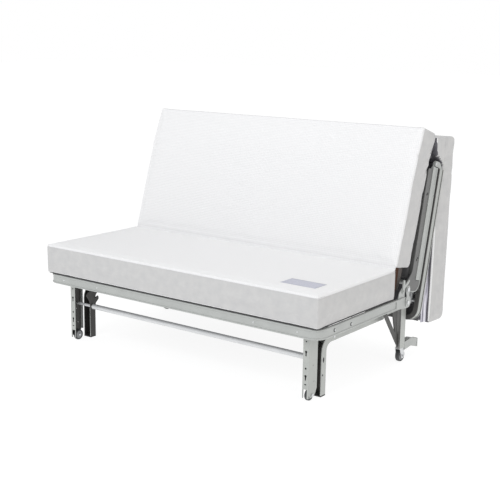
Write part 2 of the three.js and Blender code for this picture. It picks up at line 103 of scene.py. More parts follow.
class Material:
    """A node material built from a Principled shader, with short calls for the nodes it uses."""

    def __init__(self, name, color, roughness, metallic=0.0):
        self.material = bpy.data.materials.new(name)
        self.material.use_nodes = True
        self.material.diffuse_color = (*color, 1)
        self.tree = self.material.node_tree
        self.shader = self.tree.nodes["Principled BSDF"]
        self.set("Base Color", (*color, 1))
        self.set("Roughness", roughness)
        self.set("Metallic", metallic)
        self.coords = self.node("ShaderNodeTexCoord").outputs["Object"]

    def set(self, socket, value):
        self.shader.inputs[socket].default_value = value

    def node(self, kind, **settings):
        node = self.tree.nodes.new(kind)
        for key, value in settings.items():
            setattr(node, key, value)
        return node

    def link(self, source, target):
        self.tree.links.new(source, target)

    def math(self, operation, a, b=None):
        node = self.node("ShaderNodeMath", operation=operation)
        for socket, value in zip(node.inputs, (a, b)):
            if value is None:
                continue
            if isinstance(value, (int, float)):
                socket.default_value = value
            else:
                self.link(value, socket)
        return node.outputs[0]

    def noise(self, scale, detail=3, stretch=(1, 1, 1)):
        mapping = self.node("ShaderNodeMapping")
        mapping.inputs["Scale"].default_value = stretch
        self.link(self.coords, mapping.inputs["Vector"])
        texture = self.node("ShaderNodeTexNoise")
        texture.inputs["Scale"].default_value = scale
        texture.inputs["Detail"].default_value = detail
        self.link(mapping.outputs[0], texture.inputs["Vector"])
        return texture.outputs["Fac"]

    def stripes(self, direction, spacing):
        """A sine that repeats every spacing metres along direction, from -1 to 1."""
        dot = self.node("ShaderNodeVectorMath", operation="DOT_PRODUCT")
        self.link(self.coords, dot.inputs[0])
        dot.inputs[1].default_value = direction
        return self.math("SINE", self.math("MULTIPLY", dot.outputs["Value"], math.tau / spacing))

    def tint(self, factor, low, high, socket="Base Color"):
        """Runs a colour or value from low to high with factor."""
        ramp = self.node("ShaderNodeValToRGB")
        for element, value in zip(ramp.color_ramp.elements, (low, high)):
            element.color = (*value, 1) if isinstance(value, tuple) else (value,) * 3 + (1,)
        self.link(factor, ramp.inputs["Fac"])
        self.link(ramp.outputs["Color"], self.shader.inputs[socket])

    def bump(self, height, distance, strength=1.0):
        """Adds a bump on top of the ones already there."""
        node = self.node("ShaderNodeBump")
        node.inputs["Distance"].default_value = distance
        node.inputs["Strength"].default_value = strength
        self.link(height, node.inputs["Height"])
        normal = self.shader.inputs["Normal"]
        if normal.is_linked:
            self.link(normal.links[0].from_socket, node.inputs["Normal"])
        self.link(node.outputs["Normal"], normal)


def painted(name, dark, light, metallic=PAINT_METALLIC):
    """Thin powder coat with a fine orange-peel surface."""
    m = Material(name, light, 0.4, metallic)
    m.tint(m.noise(14, 4), dark, light)
    m.tint(m.noise(60, 3), 0.34, 0.5, "Roughness")
    m.bump(m.noise(900, 2), 0.0002, 0.25)
    m.set("Coat Weight", 0.15)
    m.set("Coat Roughness", 0.3)
    return m.material


def painted_channel(name, dark, light, inside, shaded):
    """The same coat, with painted shade in the colour inside where shaded(material, position, normal) is
    1.
    """
    m = Material(name, light, PAINT_ROUGHNESS, PAINT_METALLIC)
    m.tint(m.noise(14, 4), dark, light)
    outer_color = m.shader.inputs["Base Color"].links[0].from_socket
    place = m.node("ShaderNodeSeparateXYZ")
    m.link(m.coords, place.inputs[0])
    facing = m.node("ShaderNodeSeparateXYZ")
    m.link(m.node("ShaderNodeTexCoord").outputs["Normal"], facing.inputs[0])
    mix = m.node("ShaderNodeMix", data_type="RGBA")
    m.link(shaded(m, place.outputs, facing.outputs), mix.inputs["Factor"])
    m.link(outer_color, mix.inputs["A"])
    mix.inputs["B"].default_value = (*inside, 1)
    m.link(mix.outputs["Result"], m.shader.inputs["Base Color"])
    m.bump(m.noise(900, 2), 0.0002, 0.25)
    return m.material


def inner_side_shade_mask(m, place, normal):
    """Mask for painted shade: faces turned towards the middle of the bed."""
    side = m.math("SIGN", place["X"])
    return m.math("LESS_THAN", m.math("MULTIPLY", side, normal["X"]), -FACING)


def leg_hollow_shade_mask(m, place, normal):
    """Mask for painted shade: the inner side of a front leg and the walls of the holes in its front plate.
    """
    in_plate = m.math("LESS_THAN", place["Y"], LEG_PLATE_BACK)
    inside = m.math("LESS_THAN", m.math("ABSOLUTE", place["X"]), LEG_SIDE)
    across = m.math("LESS_THAN", m.math("ABSOLUTE", normal["Y"]), FACING)
    walls = m.math("MULTIPLY", m.math("MULTIPLY", in_plate, inside), across)
    return m.math("MAXIMUM", walls, inner_side_shade_mask(m, place, normal))


def bar_hollow_shade_mask(m, place, normal):
    """Mask for painted shade: the hollow of a side bar, behind its front edges."""
    deep = m.math("GREATER_THAN", place["Y"], SEAT_FRONT + BAR_EDGE)
    hollow = m.math("MULTIPLY", deep, front_side_shade_mask(m, place, normal))
    return m.math("MAXIMUM", hollow, inner_side_shade_mask(m, place, normal))


def front_side_shade_mask(m, place, normal):
    """Mask for painted shade: faces turned to the front, towards the neighbouring rail."""
    return m.math("LESS_THAN", normal["Y"], -FACING)


def plated(name, metallic):
    """Zinc with faint drawing marks along the tubes."""
    m = Material(name, (0.66, 0.67, 0.68), 0.34, metallic)
    m.tint(m.noise(25, 5), (0.6, 0.61, 0.62), (0.74, 0.75, 0.76))
    m.tint(m.noise(70, 3, (0.1, 1, 1)), 0.26, 0.42, "Roughness")
    m.bump(m.noise(420, 2, (0.05, 1, 1)), 0.0002, 0.2)
    return m.material


def knit_panel():
    """White jacquard knit: small lozenges over fine loops."""
    m = Material("white_jacquard", (0.87, 0.87, 0.88), 0.85)
    rising = m.stripes((1, 0, 1), 0.0145)
    falling = m.stripes((1, 0, -1), 0.0145)
    lozenge = m.math("MULTIPLY", rising, falling)
    loops = m.math("MULTIPLY", m.stripes((1, 0, 0), 0.0021), m.stripes((0, 1, 1), 0.0017))
    m.tint(m.math("ADD", m.math("MULTIPLY", lozenge, 0.5), 0.5), (0.79, 0.79, 0.8), (0.87, 0.87, 0.875))
    m.bump(lozenge, 0.0008, 0.55)
    m.bump(loops, 0.0003, 0.35)
    m.set("Sheen Weight", 0.25)
    return m.material


def knit_border():
    """Greyer side band with an upright rib and soft creases."""
    m = Material("grey_white_border", (0.6, 0.61, 0.62), 0.9)
    m.tint(m.noise(30, 9), (0.48, 0.482, 0.49), (0.61, 0.605, 0.597))
    m.bump(m.noise(7, 3, (1, 0.35, 1)), 0.004, 0.5)
    m.bump(m.noise(110, 3), 0.0012, 0.45)
    m.bump(m.stripes((1, 0, 1), 0.0032), 0.0003, 0.3)
    m.bump(m.stripes((0.2, 1, 0), 0.0024), 0.0002, 0.2)
    m.set("Sheen Weight", 0.2)
    return m.material


def woven(name, dark, light, pitch):
    m = Material(name, light, 0.85)
    warp = m.stripes((1, 0, 0.03), pitch)
    weft = m.stripes((0.02, 1, 1), pitch)
    weave = m.math("MULTIPLY", warp, weft)
    m.tint(m.math("ADD", m.math("MULTIPLY", weave, 0.5), 0.5), dark, light)
    m.bump(weave, 0.0005, 0.6)
    m.bump(m.noise(30, 3), 0.002, 0.3)
    return m.material


def gathered_lining_with_painted_folds():
    """Loose lavender-white lining with folds along its length: painted shade darkens their hollows and
    painted highlight lightens their crests.
    """
    m = Material("gathered_lining_with_painted_folds", (0.6, 0.59, 0.66), 0.8)
    folds = m.noise(90, 3, (1, 1, 0.07))
    ramp = m.node("ShaderNodeValToRGB")
    elements = ramp.color_ramp.elements
    # Painted shade in the fold hollows and painted highlight on the crests.
    fold_light_and_shade = ((0.4, (0.07, 0.068, 0.08)), (0.5, (0.36, 0.35, 0.42)), (0.62, (0.8, 0.79, 0.86)))
    for position, color in fold_light_and_shade:
        element = elements.new(position)
        element.color = (*color, 1)
    elements.remove(elements[0])
    elements.remove(elements[-1])
    m.link(folds, ramp.inputs["Fac"])
    m.link(ramp.outputs["Color"], m.shader.inputs["Base Color"])
    m.bump(folds, 0.006, 0.8)
    return m.material


def moulded(name, color, roughness=0.55):
    m = Material(name, color, roughness)
    m.tint(m.noise(40, 3), tuple(0.88 * c for c in color), color)
    m.bump(m.noise(500, 2), 0.0002, 0.2)
    return m.material


PAINT = painted("pale_grey_powder", (0.38, 0.395, 0.385), (0.49, 0.505, 0.492))
# Dark steel parts: partly their own dark paint, partly painted shade where they sit in the frame's shadow.
DARK_PAINT_AND_SHADE = painted("dark_grey_paint_and_shade", (0.045, 0.044, 0.042), (0.075, 0.073, 0.07), 0.5)
PALE = ((0.4, 0.415, 0.4), (0.52, 0.535, 0.515))
# Painted shade: the near-black colour given to the hollows, hole walls and inward faces of the front legs
# and side bars.
HOLLOW_SHADE_COLOR = (0.05, 0.048, 0.046)
LEG_INNER, LEG_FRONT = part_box("front_leg_right")[0][:2]
LEG_PLATE_BACK = LEG_FRONT + 3.2 * MM
LEG_SIDE = LEG_INNER + 24 * MM
FRONT_LEG_PAINT_WITH_SHADE = painted_channel("pale_grey_leg_with_painted_shade", *PALE, HOLLOW_SHADE_COLOR, leg_hollow_shade_mask)
SIDE_BAR_PAINT_WITH_SHADE = painted_channel("pale_grey_bar_with_painted_shade", *PALE, HOLLOW_SHADE_COLOR, bar_hollow_shade_mask)
# Painted shade on the foot rail's front faces, in the gap between the back and foot frames.
FOOT_RAIL_SHADE_COLOR = (0.12, 0.118, 0.115)
FOOT_RAIL_PAINT_WITH_SHADE = painted_channel("pale_grey_foot_rail_with_painted_shade", *PALE, FOOT_RAIL_SHADE_COLOR, front_side_shade_mask)
# Painted shade on the front faces of the rear legs.
REAR_LEG_SHADE_COLOR = (0.21, 0.21, 0.205)
REAR_LEG_PAINT_WITH_SHADE = painted_channel("pale_grey_rear_leg_with_painted_shade", *PALE, REAR_LEG_SHADE_COLOR, front_side_shade_mask)
# Painted shade: the rear braces sit inboard in the frame's shadow and are coloured near black for it.
BRACE_PAINTED_SHADE = painted("brace_painted_shade", (0.06, 0.06, 0.057), (0.09, 0.09, 0.086), 0.5)
BAR_ZINC = plated("satin_zinc", 0.35)
# Painted shade: the back arms are coloured mid grey, darker than the frame's paint, where they sit between
# mattress and rail.
ARM_PAINTED_SHADE = painted("arm_mid_grey_painted_shade", (0.13, 0.13, 0.128), (0.18, 0.18, 0.178), 0.5)
ZINC = plated("bright_zinc", 0.8)
PANEL = knit_panel()
BORDER = knit_border()
PIPING = woven("white_piping", (0.7, 0.7, 0.71), (0.84, 0.84, 0.85), 0.0016)
# Dark cloth colour used as painted shade: on the foot mattress's side that faces the frame and on the
# cover in the top gap.
SHADE = woven("painted_shade_cloth", (0.1, 0.098, 0.11), (0.2, 0.195, 0.22), 0.002)
LAVENDER = gathered_lining_with_painted_folds()
FELT = moulded("charcoal_felt", (0.1, 0.1, 0.103), 0.9)
DECKING = woven("dark_deck_weave", (0.05, 0.05, 0.055), (0.13, 0.13, 0.14), 0.003)
# Brown cloth colours for the crease hinge, darkened as painted shade.
GUSSET = woven("grey_brown_gusset_with_painted_shade", (0.09, 0.08, 0.075), (0.16, 0.145, 0.135), 0.0025)
BROWN = woven("brown_binding_with_painted_shade", (0.04, 0.016, 0.008), (0.09, 0.036, 0.017), 0.002)
TYRE = moulded("dark_tyre", (0.06, 0.062, 0.065), 0.6)
HUB = moulded("grey_hub", (0.27, 0.28, 0.285), 0.4)
# Near black for the plastic foot caps, and also for the discs and strips of painted shade.
DARK_CAP_AND_SHADE = moulded("dark_cap_and_painted_shade", (0.03, 0.03, 0.032), 0.65)
LABEL = woven("blank_label", (0.52, 0.53, 0.62), (0.68, 0.69, 0.77), 0.0012)

FINISH = {
    "frame_paint": PAINT,
    "zinc": ZINC,
    "dark_steel": DARK_PAINT_AND_SHADE,
    "wheel_plastic": TYRE,
    "foot_cap": DARK_CAP_AND_SHADE,
}


# ---------------------------------------------------------------- mesh helpers
def new_object(name, bm, material, place=Matrix.Identity(4), smooth=True):
    mesh = bpy.data.meshes.new(name)
    bm.to_mesh(mesh)
    bm.free()
    for polygon in mesh.polygons:
        polygon.use_smooth = smooth
    obj = bpy.data.objects.new(name, mesh)
    bpy.context.scene.collection.objects.link(obj)
    obj.matrix_world = place
    mesh.materials.append(material)
    return obj


def piece(name, bm, material, body, place=Matrix.Identity(4), smooth=True):
    obj = new_object(name, bm, material, place, smooth)
    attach(obj, body)
    return obj


def apply_modifiers(obj):
    evaluated = obj.evaluated_get(bpy.context.evaluated_depsgraph_get())
    mesh = bpy.data.meshes.new_from_object(evaluated)
    obj.modifiers.clear()
    obj.data = mesh


def add_tube(bm, points, radius, sides=8, closed=False):
    """A round tube through points. Each ring faces along the mean of its two runs."""
    count = len(points)
    rings = []
    side = None
    for i, point in enumerate(points):
        before = points[i - 1] if closed or i else points[i]
        after = points[(i + 1) % count] if closed or i < count - 1 else points[i]
        along = (after - before).normalized()
        if side is None:
            side = along.orthogonal().normalized()
        side = (side - along * side.dot(along)).normalized()
        up = along.cross(side)
        ring = []
        for k in range(sides):
            angle = math.tau * k / sides
            ring.append(bm.verts.new(point + radius * (math.cos(angle) * side + math.sin(angle) * up)))
        rings.append(ring)
    joins = zip(rings, rings[1:] + rings[:1]) if closed else zip(rings, rings[1:])
    for a, b in joins:
        for k in range(sides):
            j = (k + 1) % sides
            bm.faces.new((a[k], a[j], b[j], b[k]))
    if not closed:
        bm.faces.new(rings[0][::-1])
        bm.faces.new(rings[-1])


def add_lathe(bm, centre, profile, sides=32):
    """A solid turned about the X axis through centre. Profile points are (radius, along X)."""
    rings = []
    for radius, along in profile:
        ring = []
        for k in range(sides):
            angle = math.tau * k / sides
            offset = Vector((along, radius * math.cos(angle), radius * math.sin(angle)))
            ring.append(bm.verts.new(centre + offset))
        rings.append(ring)
    for a, b in zip(rings, rings[1:]):
        for k in range(sides):
            j = (k + 1) % sides
            bm.faces.new((a[k], a[j], b[j], b[k]))
    bm.faces.new(rings[0][::-1])
    bm.faces.new(rings[-1])
    bmesh.ops.recalc_face_normals(bm, faces=bm.faces)


def add_sheet(bm, columns, rows, place_point):
    """A grid sheet; place_point(u, v) gives each point for u and v from 0 to 1."""
    grid = [
        [bm.verts.new(place_point(i / columns, j / rows)) for i in range(columns + 1)]
        for j in range(rows + 1)
    ]
    for low, high in zip(grid, grid[1:]):
        for i in range(columns):
            bm.faces.new((low[i], low[i + 1], high[i + 1], high[i]))


def thicken(obj, thickness, offset=0.0):
    solidify = obj.modifiers.new("thickness", "SOLIDIFY")
    solidify.thickness = thickness
    solidify.offset = offset
    apply_modifiers(obj)


# ---------------------------------------------------------------- finishes on the CAD nodes
SUBPARTS = {part["node"]: part["material_slot"] for part in RECORD["subparts"]}
OTHER_FINISH = {
    "back_arm": ARM_PAINTED_SHADE,
    "front_leg": FRONT_LEG_PAINT_WITH_SHADE,
    "rear_leg": REAR_LEG_PAINT_WITH_SHADE,
    "side_bar": SIDE_BAR_PAINT_WITH_SHADE,
    "foot_rail": FOOT_RAIL_PAINT_WITH_SHADE,
    "rear_brace": BRACE_PAINTED_SHADE,
    "release_bar": BAR_ZINC,
}


def finish_cad_nodes():
    for name, obj in NODES.items():
        material = FINISH.get(SUBPARTS[name])
        if material is None:
            continue
        family = name.removesuffix("_right").removesuffix("_left")
        material = OTHER_FINISH.get(family, material)
        obj.data.materials.clear()
        obj.data.materials.append(material)
        edges = obj.modifiers.new("soft_edges", "BEVEL")
        edges.width = 0.5 * MM
        edges.segments = 2
        edges.limit_method = "ANGLE"
        edges.angle_limit = math.radians(40)
        edges.harden_normals = True


# ---------------------------------------------------------------- mattresses
VOXEL = 9 * MM
SIM_FRAMES = 14
SEWN_EDGE = 8 * MM
SPREAD = 4 * MM
ROLL_ROOT = -86 * MM
INWARD_REMOVED = 0.85  # share of the cloth's inward motion that is taken out
FAN_CREASES = 11
FAN_REACH = 110 * MM
PAD_DEPTH = 112 * MM
PAD_LENGTH = 567 * MM
FOOT_LENGTH = 775 * MM
FOOT_DEPTH = 138 * MM
ROLL_LENGTH = 118 * MM
ROLL_DEPTH = 164 * MM
BEND_START = 360 * MM  # height up the back mattress where it starts to lean over the frame
BEND = 15 * MM


def rounded(outline, radii):
    """The outline with each corner cut to a curve of its own radius."""
    result = []
    following = outline[1:] + outline[:1]
    for i, (corner, after, radius) in enumerate(zip(outline, following, radii)):
        point = Vector(corner)
        start = point + (Vector(outline[i - 1]) - point).normalized() * radius
        end = point + (Vector(after) - point).normalized() * radius
        steps = 5 if radius else 0
        for k in range(steps + 1):
            t = k / max(steps, 1)
            result.append(start.lerp(point, t).lerp(point.lerp(end, t), t))
    return result


def mattress_block(name, outline, place):
    """The square-edged start of a mattress: outline in its own Y (depth) and Z (length)."""
    half = HALF_WIDTH + SPREAD
    bm = bmesh.new()
    ends = [[bm.verts.new((x, y, z)) for y, z in outline] for x in (-half, half)]
    bm.faces.new(ends[0])
    bm.faces.new(ends[1][::-1])
    count = len(outline)
    for i in range(count):
        j = (i + 1) % count
        bm.faces.new((ends[0][j], ends[0][i], ends[1][i], ends[1][j]))
    bmesh.ops.recalc_face_normals(bm, faces=bm.faces)
    obj = new_object(name, bm, PANEL, place)
    remesh = obj.modifiers.new("cells", "REMESH")
    remesh.mode = "VOXEL"
    remesh.voxel_size = VOXEL
    remesh.use_smooth_shade = True
    smooth = obj.modifiers.new("even", "SMOOTH")
    smooth.iterations = 2
    apply_modifiers(obj)
    return obj


def normals_of(obj):
    """The vertex normals as they are now, before any vertex moves."""
    return [vertex.normal.copy() for vertex in obj.data.vertices]


def simulate(mattresses):
    """Inflates the mattresses as cloth, keeps each motion under its cap and mostly outwards."""
    scene = bpy.context.scene
    starts = {}
    for obj, _ in mattresses:
        starts[obj] = [vertex.co.copy() for vertex in obj.data.vertices]
        cloth = obj.modifiers.new("cloth", "CLOTH")
        cloth.settings.quality = 4
        cloth.settings.mass = 0.4
        cloth.settings.tension_stiffness = 25
        cloth.settings.compression_stiffness = 20
        cloth.settings.bending_stiffness = 1.5
        cloth.settings.use_pressure = True
        cloth.settings.uniform_pressure_force = 4
        cloth.settings.effector_weights.gravity = 0
        cloth.collision_settings.use_collision = False
        cloth.point_cache.frame_start = 1
        cloth.point_cache.frame_end = SIM_FRAMES
    for number in range(1, SIM_FRAMES + 1):
        scene.frame_set(number)
    depsgraph = bpy.context.evaluated_depsgraph_get()
    results = {
        obj: [vertex.co.copy() for vertex in obj.evaluated_get(depsgraph).data.vertices]
        for obj, _ in mattresses
    }
    for obj, cap in mattresses:
        obj.modifiers.clear()
        motions = zip(obj.data.vertices, normals_of(obj), starts[obj], results[obj])
        for vertex, normal, start, end in motions:
            move = end - start
            inward = min(move.dot(normal), 0)
            move -= INWARD_REMOVED * inward * normal
            if move.length > cap:
                move *= cap / move.length
            vertex.co = start + move
    scene.frame_set(1)


def smoothstep(low, high, value):
    t = min(max((value - low) / (high - low), 0), 1)
    return t * t * (3 - 2 * t)


def keep_above(obj, floor_y):
    """Flattens the underside of a mattress where it rests."""
    for vertex in obj.data.vertices:
        vertex.co.y = min(vertex.co.y, floor_y)


def narrow_foot_of_back(obj):
    """Keeps the lower end of the back mattress between the two hinge arms."""
    narrow = HALF_WIDTH - 1 * MM
    widening = 12 * MM
    for vertex in obj.data.vertices:
        limit = narrow + widening * smoothstep(100 * MM, 200 * MM, vertex.co.z)
        vertex.co.x = max(-limit, min(limit, vertex.co.x))


def bend(point):
    """A point of the back mattress moved backwards, more so towards the top."""
    t = smoothstep(BEND_START, PAD_LENGTH, point.z)
    return point + Vector((0, BEND * t * t, 0))


def lean_top_back(obj):
    """Bends the part of the mattress above the frame backwards."""
    for vertex in obj.data.vertices:
        vertex.co = bend(vertex.co)


def crease_sides(obj, seed, depth):
    """Shallow random hollows in the side bands, where the foam pulls the cover in."""
    offset = Vector((seed, 2.7 * seed, 1.3 * seed))
    hollows_per_metre = 9
    for vertex, normal in zip(obj.data.vertices, normals_of(obj)):
        inward = 1 - abs(normal.y)
        if inward < 0.3:
            continue
        hollow = noise.noise(vertex.co * hollows_per_metre + offset)
        vertex.co -= normal * depth * inward * max(hollow, 0)


def fan_creases(obj, depth):
    """Creases in the end faces that spread out from the fold hinge."""
    hinge = obj.matrix_world.inverted() @ FOLD_HINGE
    for vertex, normal in zip(obj.data.vertices, normals_of(obj)):
        if abs(normal.x) < 0.6:
            continue
        away = Vector((vertex.co.y - hinge.y, vertex.co.z - hinge.z))
        drift = noise.noise(vertex.co * 14)
        ridge = math.sin(FAN_CREASES * math.atan2(away.x, away.y) + 2 * drift)
        vertex.co -= normal * depth * math.exp(-away.length / FAN_REACH) * max(ridge, 0)


def two_fabrics(obj, low, high):
    """Panel knit on the two wide faces, border knit round the edge from one sewn line to the other."""
    obj.data.materials.append(BORDER)
    for polygon in obj.data.polygons:
        depth = polygon.center.y
        on_edge = low.y + SEWN_EDGE < depth < high.y - 2 * MM
        polygon.material_index = 1 if on_edge and abs(polygon.normal.y) < 0.8 else 0
        polygon.use_smooth = True


def shade_front(obj):
    """Painted shade on the side of the foot mattress that faces the frame."""
    obj.data.materials.append(SHADE)
    for polygon in obj.data.polygons:
        if polygon.normal.y < -0.55 and polygon.center.y < -0.06:
            polygon.material_index = 2


def subdivide(obj):
    finer = obj.modifiers.new("finer", "SUBSURF")
    finer.levels = 1
    finer.render_levels = 1
    apply_modifiers(obj)


def rounded_ring(x_half, z_low, z_high, y, corner, steps=6, spacing=0.02):
    """Points round a rectangle in X and Z at depth y, with rounded corners."""
    centres = (
        (x_half - corner, z_high - corner, 0),
        (corner - x_half, z_high - corner, 90),
        (corner - x_half, z_low + corner, 180),
        (x_half - corner, z_low + corner, 270),
    )
    corners = []
    for x, z, start in centres:
        for k in range(steps + 1):
            angle = math.radians(start + 90 * k / steps)
            corners.append(Vector((x + corner * math.cos(angle), y, z + corner * math.sin(angle))))
    ring = []
    for a, b in zip(corners, corners[1:] + corners[:1]):
        count = max(1, round((b - a).length / spacing))
        ring += [a.lerp(b, k / count) for k in range(count)]
    return ring


def seam(name, mattress, ring, radius, material=PIPING):
    """A sewn cord laid on the mattress surface along ring."""
    mesh = mattress.data
    tree = BVHTree.FromPolygons([v.co for v in mesh.vertices], [p.vertices for p in mesh.polygons])
    laid = []
    for point in ring:
        place, normal, _, _ = tree.find_nearest(point)
        laid.append(place + normal * radius * 0.2)
    bm = bmesh.new()
    add_tube(bm, laid, radius, 6, closed=True)
    return new_object(name, bm, material, mattress.matrix_world.copy())


SEAT_DEPTH = SEAT_HIGH.z - SEAT_LOW.z - 1 * MM
SEAT_LENGTH = SEAT_HIGH.y - SEAT_LOW.y
SEAT_OUTLINE = [(0, -2 * MM), (SEAT_DEPTH, 0), (SEAT_DEPTH, SEAT_LENGTH), (0, SEAT_LENGTH + 2 * MM)]
PAD_OUTLINE = rounded(
    [(0, 3 * MM), (PAD_DEPTH, 16 * MM), (PAD_DEPTH, PAD_LENGTH), (0, PAD_LENGTH)],
    [0, 20 * MM, 10 * MM, 0],
)
# From its rear panel forwards: thin against the deck at the top, then full depth.
FOOT_OUTLINE = rounded(
    [
        (0, 0), (-0.0925, 0), (-0.0925, -0.15), (-FOOT_DEPTH, -0.37),
        (-0.136, -FOOT_LENGTH), (0, -FOOT_LENGTH),
    ],
    [12 * MM, 0, 0, 0, 12 * MM, 24 * MM],
)
# The loose filling that spreads over the fold hinge.
ROLL_OUTLINE = [
    (ROLL_ROOT, 0), (-ROLL_DEPTH, 0), (-0.161, -0.03), (-0.147, -0.072), (-0.115, -0.094),
    (-0.0935, -ROLL_LENGTH), (ROLL_ROOT, -ROLL_LENGTH),
]


def build_seams(name, mattress, body, low, high):
    """Sewn cords round the rear and front edges. The foot mattress has none at its front."""
    for side, depth in (("rear", high.y - 3 * MM), ("front", low.y + SEWN_EDGE)):
        if name == "foot" and side == "front":
            continue
        ring = rounded_ring(high.x, low.z, high.z, depth, 12 * MM)
        if name == "back":
            ring = [bend(point) for point in ring]
        cord = seam(f"{name}_seam_{side}", mattress, ring, 1.1 * MM)
        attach(cord, body)
        settle(cord, name)


def dress_mattress(number, name, obj, body, low, high):
    """Fabrics, creases and seams on one mattress. It then takes the CAD mattress's place."""
    two_fabrics(obj, low, high)
    if name in ("foot", "roll"):
        shade_front(obj)
    crease_sides(obj, number + 1, 2 * MM)
    if name == "back":
        lean_top_back(obj)
    subdivide(obj)
    if name in ("back", "foot"):
        fan_creases(obj, 10 * MM)
    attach(obj, body)
    settle(obj, name)
    if name != "roll":
        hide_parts(name + "_mattress")
        build_seams(name, obj, body, low, high)


def build_mattresses():
    seat = mattress_block("seat_mattress_soft", SEAT_OUTLINE, SEAT_PLACE)
    back = mattress_block("back_mattress_soft", PAD_OUTLINE, PAD_PLACE)
    foot = mattress_block("foot_mattress_soft", FOOT_OUTLINE, FOOT_PAD_PLACE)
    roll = mattress_block("foot_roll_soft", ROLL_OUTLINE, FOOT_PAD_PLACE)
    simulate([(seat, 5 * MM), (back, 5 * MM), (foot, 4 * MM)])
    narrow_foot_of_back(back)
    keep_above(seat, SEAT_DEPTH)
    wide = HALF_WIDTH + SPREAD
    pieces = (
        ("seat", seat, "seat_frame", (-wide, 0, 0), (wide, SEAT_DEPTH, SEAT_LENGTH)),
        ("back", back, "back_pad", (-wide, 0, 2 * MM), (wide, PAD_DEPTH, PAD_LENGTH)),
        ("foot", foot, "foot_pad", (-wide, -FOOT_DEPTH, -FOOT_LENGTH), (wide, 0, 0)),
        ("roll", roll, "foot_pad", (-wide, -ROLL_DEPTH, -ROLL_LENGTH), (wide, 0, 0)),
    )
    for number, (name, obj, body, low, high) in enumerate(pieces):
        dress_mattress(number, name, obj, body, Vector(low), Vector(high))


# Per part: the joint it would flatten with, its frame, the depth of its fixed plane, and how much would
# stay. Only the part names are read.
SETTLE = {
    "back": ("back_pad_fold", PAD_PLACE, 0, 0.95),
    "top_lining": ("back_pad_fold", PAD_PLACE, 0.111, 0.05),
    "foot": ("foot_pad_settle", FOOT_PAD_PLACE, 0, 0.87),
    "roll": ("foot_pad_settle", FOOT_PAD_PLACE, ROLL_ROOT, 0.12),
    "foot_lining": ("foot_pad_settle", FOOT_PAD_PLACE, -0.112, 0.15),
}


def settle(obj, name):
    """Gives a soft part listed in SETTLE its own copy of its mesh. Such parts bulge past their frame at
    rest.
    """
    if name not in SETTLE:
        return
    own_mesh(obj)


def build_label():
    """A blank care label sewn flat near the seat's front corner."""
    x_low, x_high = 473 * MM, 624 * MM
    y_low, y_high = 72 * MM, 148 * MM
    mattress = bpy.data.objects["seat_mattress_soft"]
    mesh = mattress.data
    tree = BVHTree.FromPolygons([v.co for v in mesh.vertices], [p.vertices for p in mesh.polygons])

    def point(u, v):
        x = x_low + u * (x_high - x_low)
        along = y_low + v * (y_high - y_low)
        place, _, _, _ = tree.find_nearest(Vector((x, 0, along)))
        return place - Vector((0, 0.5 * MM, 0))

    bm = bmesh.new()
    add_sheet(bm, 20, 10, point)
    label = new_object("care_label", bm, LABEL, SEAT_PLACE)
    thicken(label, 0.8 * MM)
    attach(label, "seat_frame")


PUCKER_TOP = -330 * MM
PUCKER_LENGTH = 437 * MM
PUCKER_ROOT = -124 * MM


def build_puckers():
    """Loose lining gathered between the foot deck and the foot mattress, on both sides."""
    for side, sign in (("right", 1), ("left", -1)):
        bm = bmesh.new()

        def point(u, v):
            z = PUCKER_TOP - PUCKER_LENGTH * u
            reach = 10 * MM + 34 * MM * smoothstep(0, 0.4, u)
            y = PUCKER_ROOT - reach * v
            drift = 1.6 * math.sin(u * 5 + sign) + 0.8 * math.sin(u * 13)
            fold = 5 * MM * math.sin(v * 14 + drift) * math.sin(math.pi * min(u + 0.15, 1))
            x = HALF_WIDTH - 7 * MM - 12 * MM * v + fold
            return Vector((sign * x, y, z))

        add_sheet(bm, 70, 28, point)
        cover = new_object(f"foot_lining_{side}", bm, LAVENDER, FOOT_PAD_PLACE)
        thicken(cover, 1.6 * MM)
        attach(cover, "foot_pad")
        settle(cover, "foot_lining")


def build_top_lining():
    """The cover between the back and foot mattresses, coloured dark as painted shade in the gap over the
    fold hinge.
    """
    bm = bmesh.new()
    half = HALF_WIDTH - 12 * MM

    def point(u, v):
        x = half * (2 * u - 1)
        sag = 14 * MM * math.sin(math.pi * v)
        ripple = 2 * MM * noise.noise(Vector((x * 8, v * 3, 0.5)))
        y = PAD_DEPTH + 6 * MM + 30 * MM * v
        return Vector((x, y, 0.545 - 0.075 * v - sag + ripple))

    add_sheet(bm, 80, 10, point)
    lining = new_object("top_gap_lining", bm, SHADE, PAD_PLACE)
    thicken(lining, 1.6 * MM)
    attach(lining, "back_pad")
    settle(lining, "top_lining")


def build_crease_cover():
    """The white cover carries on from the seat, down into the crease and up the back."""
    half = HALF_WIDTH - 4 * MM
    path = [
        Vector((0, SEAT_HIGH.y - 7 * MM, SEAT_HIGH.z - 2 * MM)),
        Vector((0, SEAT_HIGH.y - 2 * MM, SEAT_HIGH.z - 4 * MM)),
        CREASE + Vector((0, 2 * MM, -6 * MM)),
        PAD_PLACE @ Vector((0, 4 * MM, 8 * MM)),
        PAD_PLACE @ Vector((0, 1.5 * MM, 14 * MM)),
    ]
    bm = bmesh.new()

    def point(u, v):
        step = min(int(v * (len(path) - 1)), len(path) - 2)
        place = path[step].lerp(path[step + 1], v * (len(path) - 1) - step)
        place.x = half * (2 * u - 1)
        place.z += 1.2 * MM * noise.noise(Vector((place.x * 12, v * 2, 3)))
        return place

    add_sheet(bm, 120, 15, point)
    cover = new_object("crease_cover", bm, PANEL)
    thicken(cover, 2 * MM)
    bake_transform(cover)


